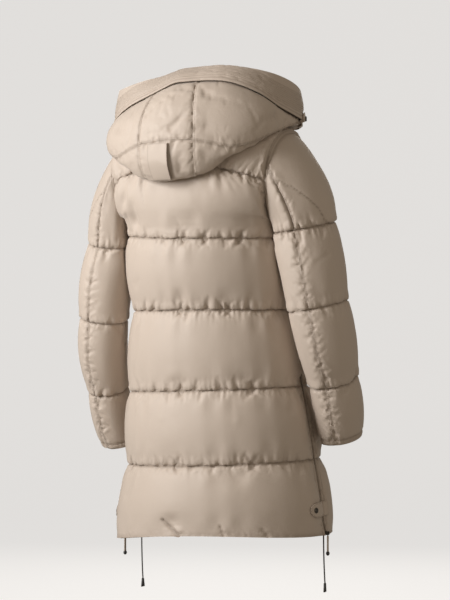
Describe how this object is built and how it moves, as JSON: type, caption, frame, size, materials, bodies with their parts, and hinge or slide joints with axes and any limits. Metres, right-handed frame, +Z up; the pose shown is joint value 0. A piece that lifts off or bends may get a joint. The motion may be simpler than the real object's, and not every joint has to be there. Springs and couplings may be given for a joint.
{
  "type": "long puffer coat",
  "caption": "Knee-length beige puffer coat with a wide folded-down hood, quilted channels, side zips with snap tabs and a hem drawcord, in the shape it has when worn.",
  "frame": {"origin": "the middle of the neck opening, level with the foot of the collar at the sides, where the wearer carries the coat", "axes": "+Z up along the body, +X to the wearer's left, +Y to the wearer's back, so the front faces -Y"},
  "size_m": [0.6346, 0.4065, 1.0767],
  "materials": {
    "padded_shell": "fine plain weave, soft sheen",
    "zip_tape": "woven tape",
    "dark_metal": "dark, satin",
    "dark_cord": "braided",
    "cord_end_plastic": "matte"
  },
  "bodies": {
    "coat": {"back": "padded_shell", "front_left": "padded_shell", "front_right": "padded_shell", "collar": "padded_shell", "hood_band": "padded_shell", "hood_base_centre": "padded_shell", "hood_base_left": "padded_shell", "hood_base_right": "padded_shell", "hood_top_centre": "padded_shell", "hood_top_left": "padded_shell", "hood_top_right": "padded_shell", "hood_strap": "padded_shell", "sleeve_under_left": "padded_shell", "sleeve_under_right": "padded_shell", "sleeve_upper_left": "padded_shell", "sleeve_upper_right": "padded_shell", "side_tab_left": "padded_shell", "side_tab_right": "padded_shell", "throat_tab": "padded_shell", "front_zip": "zip_tape", "side_zip_left": "zip_tape", "side_zip_right": "zip_tape", "front_slider": "dark_metal", "side_left_slider": "dark_metal", "side_right_slider": "dark_metal", "side_snap_left": "dark_metal", "side_snap_right": "dark_metal", "throat_snap": "dark_metal", "hem_drawcord_left": "dark_cord", "hem_drawcord_right": "dark_cord", "cord_end_left": "cord_end_plastic", "cord_end_right": "cord_end_plastic"},
    "front_pull_body": {"front_pull": "padded_shell"},
    "side_pull_left_body": {"side_left_pull": "padded_shell"},
    "side_pull_right_body": {"side_right_pull": "padded_shell"}
  },
  "joints": [
    {"name": "front_pull_hinge", "type": "hinge", "parent": "coat", "child": "front_pull_body", "pos_m": [0, -0.0955, -0.0115], "axis": [-1, 0, 0], "range_deg": [0, 120]},
    {"name": "side_pull_left_hinge", "type": "hinge", "parent": "coat", "child": "side_pull_left_body", "pos_m": [0.22344, -0.00802, -0.88787], "axis": [0, -1, 0], "range_deg": [0, 120]},
    {"name": "side_pull_right_hinge", "type": "hinge", "parent": "coat", "child": "side_pull_right_body", "pos_m": [-0.24944, -0.00802, -0.85792], "axis": [0, 1, 0], "range_deg": [0, 120]}
  ]
}
